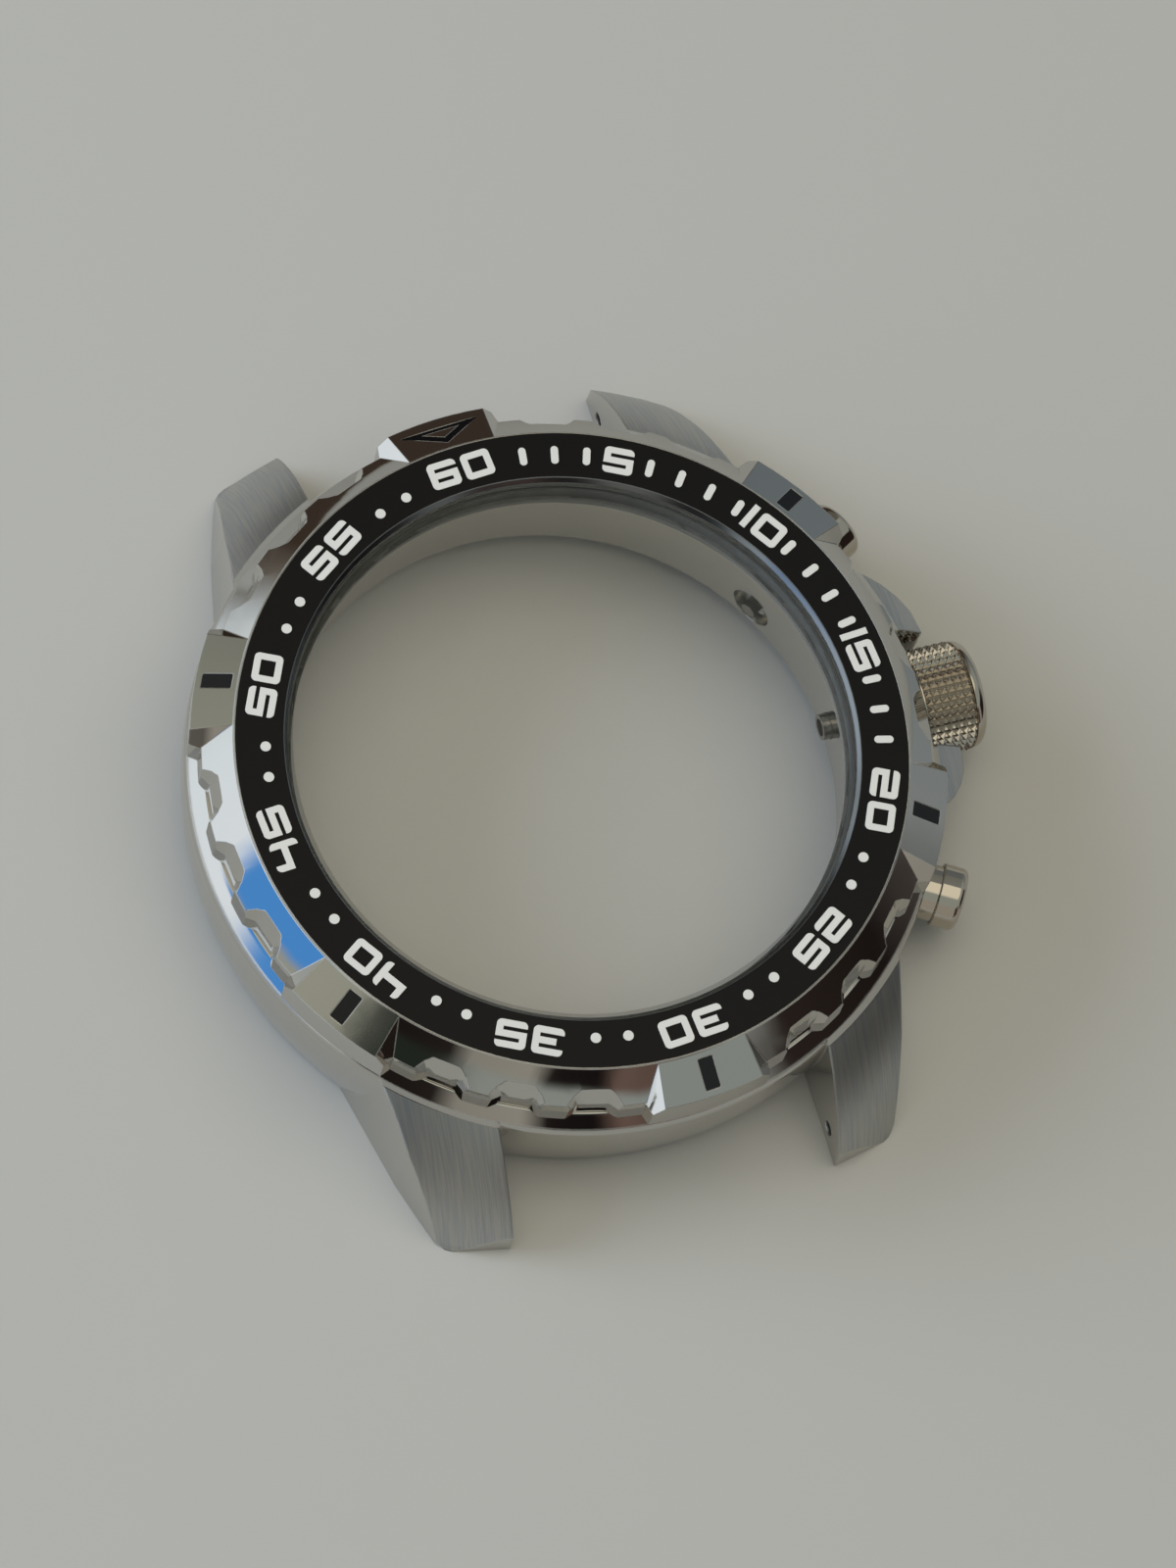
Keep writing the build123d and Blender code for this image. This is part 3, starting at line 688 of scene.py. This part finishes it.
def lathe_x(name, outline, around, height):
    """A piece spun about a level axis at a height, from (x, radius) points in millimetres."""
    mesh = bpy.data.meshes.new(name)
    shape = bmesh.new()
    chain = [shape.verts.new((x * MM, 0, height + r * MM)) for x, r in outline]
    edges = [shape.edges.new(pair) for pair in zip(chain, chain[1:])]
    bmesh.ops.spin(
        shape, geom=chain + edges, axis=(1, 0, 0), cent=(0, 0, height), angle=tau, steps=around
    )
    bmesh.ops.remove_doubles(shape, verts=shape.verts, dist=SAME_POINT)
    bmesh.ops.recalc_face_normals(shape, faces=shape.faces)
    shape.to_mesh(mesh)
    shape.free()
    made = bpy.data.objects.new(name, mesh)
    bpy.context.collection.objects.link(made)
    return made


def knurl_tree():
    """Geometry nodes that set ridged rows of pyramids round the crown and join them to its body."""
    tree = bpy.data.node_groups.new("crown_knurl", "GeometryNodeTree")
    sockets = {"Geometry": "Geometry", "Rows": "Int", "Pyramids": "Int"}
    for name in ("Start", "End", "Radius", "Height", "Tip", "Ridge", "Axis Height"):
        sockets[name] = "Float"
    sockets["Steel"] = "Material"
    for name, kind in sockets.items():
        tree.interface.new_socket(name, in_out="INPUT", socket_type=f"NodeSocket{kind}")
    tree.interface.new_socket("Geometry", in_out="OUTPUT", socket_type="NodeSocketGeometry")
    given = tree.nodes.new("NodeGroupInput").outputs

    # A point for each pyramid, on a ring for each pitch along the axis
    span = add_node(tree, "ShaderNodeMath", given["End"], given["Start"], operation="SUBTRACT")
    pitch = add_node(tree, "ShaderNodeMath", span, given["Pyramids"], operation="DIVIDE")
    first = add_node(tree, "ShaderNodeMath", pitch, 0.5, given["Start"], operation="MULTIPLY_ADD")
    girth = add_node(tree, "ShaderNodeMath", given["Radius"], tau, operation="MULTIPLY")
    width = add_node(tree, "ShaderNodeMath", girth, given["Rows"], operation="DIVIDE")
    line = add_node(
        tree,
        "GeometryNodeMeshLine",
        Count=given["Pyramids"],
        Start_Location=add_node(tree, "ShaderNodeCombineXYZ", first),
        Offset=add_node(tree, "ShaderNodeCombineXYZ", pitch),
    )
    ring = add_node(tree, "GeometryNodeMeshCircle", Vertices=given["Rows"], Radius=given["Radius"])
    upright = add_node(tree, "GeometryNodeTransform", ring, Rotation=(0, radians(90), 0))
    rings = add_node(tree, "GeometryNodeInstanceOnPoints", line, Instance=upright)
    places = add_node(tree, "GeometryNodeRealizeInstances", rings)

    # A square pyramid with a flat tip, standing outwards
    corner = 0.5**0.5
    cone = add_node(
        tree,
        "GeometryNodeMeshCone",
        Vertices=4,
        Radius_Top=add_node(tree, "ShaderNodeMath", given["Tip"], corner, operation="MULTIPLY"),
        Radius_Bottom=corner,
        Depth=1.0,
        fill_type="NGON",
    )
    square = add_node(tree, "GeometryNodeTransform", cone, Rotation=(0, 0, radians(45)))
    size = add_node(tree, "ShaderNodeCombineXYZ", pitch, width, given["Height"])
    pyramid = add_node(tree, "GeometryNodeTransform", square, Scale=size)
    spot = add_node(tree, "GeometryNodeInputPosition")
    outwards = add_node(tree, "ShaderNodeVectorMath", spot, (0, 1, 1), operation="MULTIPLY")
    turned = add_node(
        tree, "FunctionNodeAxesToRotation", outwards, (1, 0, 0), primary_axis="Z", secondary_axis="X"
    )
    knobs = add_node(tree, "GeometryNodeInstanceOnPoints", places, Instance=pyramid, Rotation=turned)

    # A three-sided ridge along each row, under its pyramids, with a foot as wide as the row
    corner_over_side = 3**-0.5
    ends = add_node(tree, "ShaderNodeMath", given["Start"], given["End"], operation="ADD")
    middle = add_node(tree, "ShaderNodeMath", ends, 0.5, operation="MULTIPLY")
    halfway = add_node(tree, "ShaderNodeCombineXYZ", middle)
    girdle = add_node(tree, "GeometryNodeTransform", upright, Translation=halfway)
    prism = add_node(
        tree, "GeometryNodeMeshCylinder", Vertices=3, Radius=1.0, Depth=1.0, fill_type="NGON"
    )
    lying = add_node(tree, "GeometryNodeTransform", prism, Rotation=(0, radians(-90), 0))
    ridge_size = add_node(
        tree,
        "ShaderNodeCombineXYZ",
        span,
        add_node(tree, "ShaderNodeMath", width, corner_over_side, operation="MULTIPLY"),
        add_node(tree, "ShaderNodeMath", given["Height"], given["Ridge"], operation="MULTIPLY"),
    )
    ridge = add_node(tree, "GeometryNodeTransform", lying, Scale=ridge_size)
    ridges = add_node(tree, "GeometryNodeInstanceOnPoints", girdle, Instance=ridge, Rotation=turned)

    knurl = add_node(tree, "GeometryNodeJoinGeometry", knobs)
    tree.links.new(ridges.outputs[0], knurl.inputs[0])
    lift = add_node(tree, "ShaderNodeCombineXYZ", Z=given["Axis Height"])
    raised = add_node(tree, "GeometryNodeTransform", knurl, Translation=lift)
    joined = add_node(tree, "GeometryNodeJoinGeometry", given["Geometry"])
    tree.links.new(raised.outputs[0], joined.inputs[0])
    real = add_node(tree, "GeometryNodeRealizeInstances", joined)
    painted = add_node(tree, "GeometryNodeSetMaterial", real, Material=given["Steel"])
    add_node(tree, "NodeGroupOutput", painted)
    return tree


def set_inputs(modifier, values):
    """Sets a Geometry Nodes modifier's inputs by the identifiers of their sockets."""
    for item in modifier.node_group.interface.items_tree:
        if item.item_type == "SOCKET" and item.in_out == "INPUT" and item.name in values:
            modifier[item.identifier] = values[item.name]


def make_plain(piece):
    """Replaces a piece's mesh with what its modifiers make, and drops the modifiers."""
    bpy.context.view_layer.update()
    solved = piece.evaluated_get(bpy.context.evaluated_depsgraph_get())
    mesh = bpy.data.meshes.new_from_object(solved)
    piece.modifiers.clear()
    piece.data = mesh


class WATCHCASE_OT_crown(bpy.types.Operator):
    """Replaces the crown with one that has a pyramid knurl, and paints the pushers"""

    bl_idname = "watchcase.crown"
    bl_label = "Crown and pushers"

    def execute(self, context):
        look = context.scene.crown_look
        # Stainless steel, knurled and then tumbled: each pyramid keeps a bright face and a dark one
        steel = plain_steel("stainless_steel_knurled", look.steel, look.knurl, edge=0.03 * MM)
        paint(steel, "crown")
        # Stainless steel, turned and polished: warm mirrors with soft, bright rims
        polished = plain_steel("stainless_steel_turned_polished", look.steel, look.pusher, edge=0.08 * MM)
        for side in SIDES:
            paint(polished, f"{side}_pusher_head", f"{side}_pusher_tube")
        crown = lathe_x("knurled_crown", crown_outline(), CROWN_SIDES, CROWN_AXIS_Z)
        crown.data.materials.append(steel)
        crown.data.polygons.foreach_set("use_smooth", [True] * len(crown.data.polygons))
        knurl = crown.modifiers.new("knurl", "NODES")
        knurl.node_group = knurl_tree()
        set_inputs(
            knurl,
            {
                "Rows": look.rows,
                "Pyramids": look.pyramids,
                "Start": KNURL_START * MM,
                "End": KNURL_END * MM,
                "Radius": KNURL_FOOT * MM,
                "Height": look.height,
                "Tip": look.tip,
                "Ridge": look.ridge,
                "Axis Height": CROWN_AXIS_Z,
                "Steel": steel,
            },
        )
        make_plain(crown)
        crown.data.set_sharp_from_angle(angle=CROWN_SHARP)
        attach(crown, "crown_group")
        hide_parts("crown")
        return {"FINISHED"}


# Seals, stems and springs

WIRE_EDGE = 0.01 * MM


class WATCHCASE_OT_inner_parts(bpy.types.Operator):
    """Paints the seals, the stems and tubes, the washers, wires, balls and clips"""

    bl_idname = "watchcase.inner_parts"
    bl_label = "Seals, stems and springs"

    def execute(self, context):
        look = context.scene.inner_look
        # Nitrile rubber, moulded: black and dull. Its mould's texture of 0.05 mm is too fine to show, so
        # it is drawn 0.4 mm wide
        rubber = coated(
            "nitrile_rubber_moulded",
            look.rubber,
            roughness=0.6,
            width=MM / 2.5,
            depth=0.004 * MM,
            edge=0.03 * MM,
        )
        # Stainless steel, left as the lathe cut it: greyer than the case, with faint tool marks
        turned = plain_steel(
            "stainless_steel_turned", look.turned, look.turning, edge=0.03 * MM, tool_marks=True
        )
        # Spring steel, drawn and hardened: a cool, even sheen
        wire = plain_steel("spring_steel_drawn", look.wire, look.drawing, edge=WIRE_EDGE)
        paint(rubber, "bezel_gasket", "crown_gasket")
        paint(turned, "crown_stem", "crown_tube", "crown_washer")
        paint(wire, "bezel_retaining_wire", "click_balls", "click_springs")
        for side in SIDES:
            paint(rubber, f"{side}_pusher_gaskets")
            paint(turned, f"{side}_pusher_stem", f"{side}_pusher_washer")
            paint(wire, f"{side}_pusher_clip")
        return {"FINISHED"}


class WATCHCASE_OT_return_springs(bpy.types.Operator):
    """Gives each pusher's return spring a mesh of its own in spring steel, fixed to the case"""

    bl_idname = "watchcase.return_springs"
    bl_label = "Return springs"

    def execute(self, context):
        look = context.scene.inner_look
        # Spring steel, drawn and hardened: a cool, even sheen
        wire = plain_steel("spring_steel_coiled", look.wire, look.drawing, edge=WIRE_EDGE)
        for side in SIDES:
            mesh = nodes[f"{side}_pusher_spring"].data.copy()
            mesh.materials.clear()
            mesh.materials.append(wire)
            spring = bpy.data.objects.new(f"{side}_return_spring", mesh)
            context.collection.objects.link(spring)
            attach(spring, "case")
            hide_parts(f"{side}_pusher_spring")
            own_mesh(spring)
        return {"FINISHED"}


# Stage

FLOOR_WIDTH = 3.0
FLOOR_GAP = 0.02 * MM
WINDOW_PLACE = (-0.48, 0.26, 0.27)
WINDOW_WIDTH = 0.35
CEILING_PLACE = (0.1, 0.05, 1.0)
CEILING_WIDTH = 1.2

# The room that the polish mirrors. A turn of 0 is at 3 o'clock, 0.25 at 12, 0.5 at 9 and 0.75 at 6,
# and a height is the share of straight up. The low room has a dark cupboard to a turn of 0.3, windows
# to 0.59, a door, a pale wall, shelves, a gap of light at 0.83, and dark things to 0.96
LOW_ROOM = (
    (0.0, "#858a8b"),
    (0.08, "#6f777b"),
    (0.13, "#6a7276"),
    (0.18, "#4a423c"),
    (0.2, "#3a302a"),
    (0.295, "#3c322b"),
    (0.31, "#6b655e"),
    (0.33, "#b9c1c6"),
    (0.345, "#e4ecf2"),
    (0.37, "#c4cacb"),
    (0.4, "#e8f2fb"),
    (0.47, "#eef6ff"),
    (0.53, "#e2ecf4"),
    (0.585, "#c8cdcd"),
    (0.6, "#1a1614"),
    (0.645, "#25201e"),
    (0.66, "#8d8a82"),
    (0.7, "#96928a"),
    (0.715, "#1c1716"),
    (0.745, "#171313"),
    (0.76, "#6b5850"),
    (0.8, "#41332e"),
    (0.83, "#9a9b97"),
    (0.86, "#2b2320"),
    (0.93, "#1d1816"),
    (0.965, "#3f3a37"),
    (1.0, "#858a8b"),
)

# The high room is the tops of the walls, with a dark beam from a turn of 0.58 to 0.64
HIGH_ROOM = (
    (0.0, "#8c9290"),
    (0.1, "#8a8f8c"),
    (0.17, "#5f5e58"),
    (0.3, "#605f58"),
    (0.36, "#8f9186"),
    (0.5, "#a3a498"),
    (0.565, "#9d9e93"),
    (0.58, "#232924"),
    (0.64, "#262b27"),
    (0.67, "#8f9590"),
    (0.8, "#8e9491"),
    (0.87, "#8d9390"),
    (1.0, "#8c9290"),
)

# Where the blue window's sides and sill lie, and where the high room and the ceiling start
PANE_LEFT = (0.45, 0.475)
PANE_RIGHT = (0.545, 0.56)
PANE_SILL = (0.33, 0.37)
HIGH_START = (0.48, 0.54)
CEILING_START = (0.9, 0.96)

# From this turn on, the high room starts higher by this much, above the windows
EAVES_TURN = (0.4, 0.45)
EAVES_RISE = 0.06


def area_lamp(name, place, width, power, colour):
    """A square lamp that looks at the case and lights it softly, unseen in its polish."""
    data = bpy.data.lights.new(name, "AREA")
    data.size = width
    data.energy = power
    data.color = linear(colour)[:3]
    lamp = bpy.data.objects.new(name, data)
    lamp.location = place
    lamp.rotation_euler = (-Vector(place)).to_track_quat("-Z", "Y").to_euler()
    lamp.visible_glossy = False
    bpy.context.collection.objects.link(lamp)


def room_light(look):
    """Bright windows, one of them blue, and dark things low round the room, under a pale ceiling."""
    world = bpy.data.worlds.new("room")
    world.use_nodes = True
    tree = world.node_tree
    tree.nodes.clear()
    heading = add_node(tree, "ShaderNodeTexCoord").outputs["Generated"]
    way = add_node(tree, "ShaderNodeSeparateXYZ", heading).outputs
    angle = add_node(tree, "ShaderNodeMath", way["Y"], way["X"], operation="ARCTAN2")
    turns = add_node(tree, "ShaderNodeMath", angle, tau, operation="DIVIDE")
    turn = add_node(tree, "ShaderNodeMath", turns, operation="FRACT")
    ramps = []
    for stops in (LOW_ROOM, HIGH_ROOM):
        ramp = add_node(tree, "ShaderNodeValToRGB", turn)
        elements = ramp.color_ramp.elements
        elements[0].color = linear(stops[0][1])
        elements[1].color = linear(stops[-1][1])
        for position, colour in stops[1:-1]:
            elements.new(position).color = linear(colour)
        ramps.append(ramp)
    low, high = ramps
    left = add_node(tree, "ShaderNodeMapRange", turn, *PANE_LEFT, **SMOOTH)
    right = add_node(tree, "ShaderNodeMapRange", turn, *PANE_RIGHT, 1, 0, **SMOOTH)
    sides = add_node(tree, "ShaderNodeMath", left, right, operation="MULTIPLY")
    sill = add_node(tree, "ShaderNodeMapRange", way["Z"], *PANE_SILL, **SMOOTH)
    pane = add_node(tree, "ShaderNodeMath", sides, sill, operation="MULTIPLY")
    eaves = add_node(tree, "ShaderNodeMapRange", turn, *EAVES_TURN, **SMOOTH)
    rise = add_node(tree, "ShaderNodeMath", eaves, EAVES_RISE, operation="MULTIPLY")
    above = add_node(tree, "ShaderNodeMath", way["Z"], rise, operation="SUBTRACT")
    steps = (
        (pane, linear(look.pane)),
        (add_node(tree, "ShaderNodeMapRange", above, *HIGH_START, **SMOOTH), high),
        (add_node(tree, "ShaderNodeMapRange", way["Z"], *CEILING_START, **SMOOTH), linear(look.zenith)),
    )
    colour = low
    for share, over in steps:
        mixed = add_node(tree, "ShaderNodeMix", share, A=colour, B=over, data_type="RGBA")
        colour = mixed.outputs["Result"]
    light = add_node(tree, "ShaderNodeBackground", Color=colour, Strength=look.room)
    add_node(tree, "ShaderNodeOutputWorld", light)
    bpy.context.scene.world = world


class WATCHCASE_OT_stage(bpy.types.Operator):
    """Sets the floor, the lamps, the room's light and the camera"""

    bl_idname = "watchcase.stage"
    bl_label = "Stage"

    def execute(self, context):
        look = context.scene.stage_look
        bpy.ops.mesh.primitive_plane_add(size=FLOOR_WIDTH, location=(0, 0, -FLOOR_GAP))
        floor = context.active_object
        floor.name = "floor"
        # Matt paper: pale and even, with shallow waves 3 mm wide where it doesn't lie quite flat
        paper = coated(
            "paper_matt",
            look.floor,
            roughness=0.5,
            width=MM / 0.3,
            depth=0.02 * MM,
            edge=0.01 * MM,
        )
        floor.data.materials.append(paper)
        area_lamp("window", WINDOW_PLACE, WINDOW_WIDTH, look.window, look.window_colour)
        area_lamp("ceiling", CEILING_PLACE, CEILING_WIDTH, look.ceiling, look.ceiling_colour)
        room_light(look)
        data = bpy.data.cameras.new("photo_camera")
        data.lens = look.lens
        camera = bpy.data.objects.new("photo_camera", data)
        context.collection.objects.link(camera)
        ahead = (Vector(look.aim) - Vector(look.camera)).to_track_quat("-Z", "Y")
        camera.rotation_mode = "QUATERNION"
        camera.rotation_quaternion = ahead @ Quaternion((0, 0, 1), look.roll)
        camera.location = look.camera
        context.scene.camera = camera
        context.scene.view_settings.view_transform = "Standard"
        return {"FINISHED"}


class WATCHCASE_PT_panel(bpy.types.Panel):
    """Lists the watch case's operators and settings"""

    bl_idname = "WATCHCASE_PT_panel"
    bl_label = "Watch case"
    bl_space_type = "VIEW_3D"
    bl_region_type = "UI"
    bl_category = "Watch case"

    def draw(self, context):
        for operator in OPERATORS:
            self.layout.operator(operator.bl_idname)
        for group in SETTINGS:
            box = self.layout.box()
            box.label(text=group)
            settings = getattr(context.scene, group)
            for name in settings.bl_rna.properties.keys():
                if name not in ("rna_type", "name"):
                    box.prop(settings, name)


OPERATORS = (
    WATCHCASE_OT_case,
    WATCHCASE_OT_bezel,
    WATCHCASE_OT_crystal,
    WATCHCASE_OT_crown,
    WATCHCASE_OT_inner_parts,
    WATCHCASE_OT_return_springs,
    WATCHCASE_OT_stage,
)
SETTINGS = {
    "case_look": CaseLook,
    "insert_look": InsertLook,
    "crystal_look": CrystalLook,
    "crown_look": CrownLook,
    "inner_look": InnerLook,
    "stage_look": StageLook,
}


def register():
    """Registers the settings, the operators and the panel."""
    for name, group in SETTINGS.items():
        bpy.utils.register_class(group)
        setattr(bpy.types.Scene, name, PointerProperty(type=group))
    for operator in OPERATORS:
        bpy.utils.register_class(operator)
    bpy.utils.register_class(WATCHCASE_PT_panel)


def unregister():
    """Takes back what register did, in reverse."""
    bpy.utils.unregister_class(WATCHCASE_PT_panel)
    for operator in reversed(OPERATORS):
        bpy.utils.unregister_class(operator)
    for name, group in reversed(SETTINGS.items()):
        delattr(bpy.types.Scene, name)
        bpy.utils.unregister_class(group)


def main():
    """Dresses the case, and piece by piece."""
    register()
    for operator in OPERATORS:
        group, action = operator.bl_idname.split(".")
        getattr(getattr(bpy.ops, group), action)()
    bpy.context.view_layer.update()


if __name__ == "__main__":
    main()
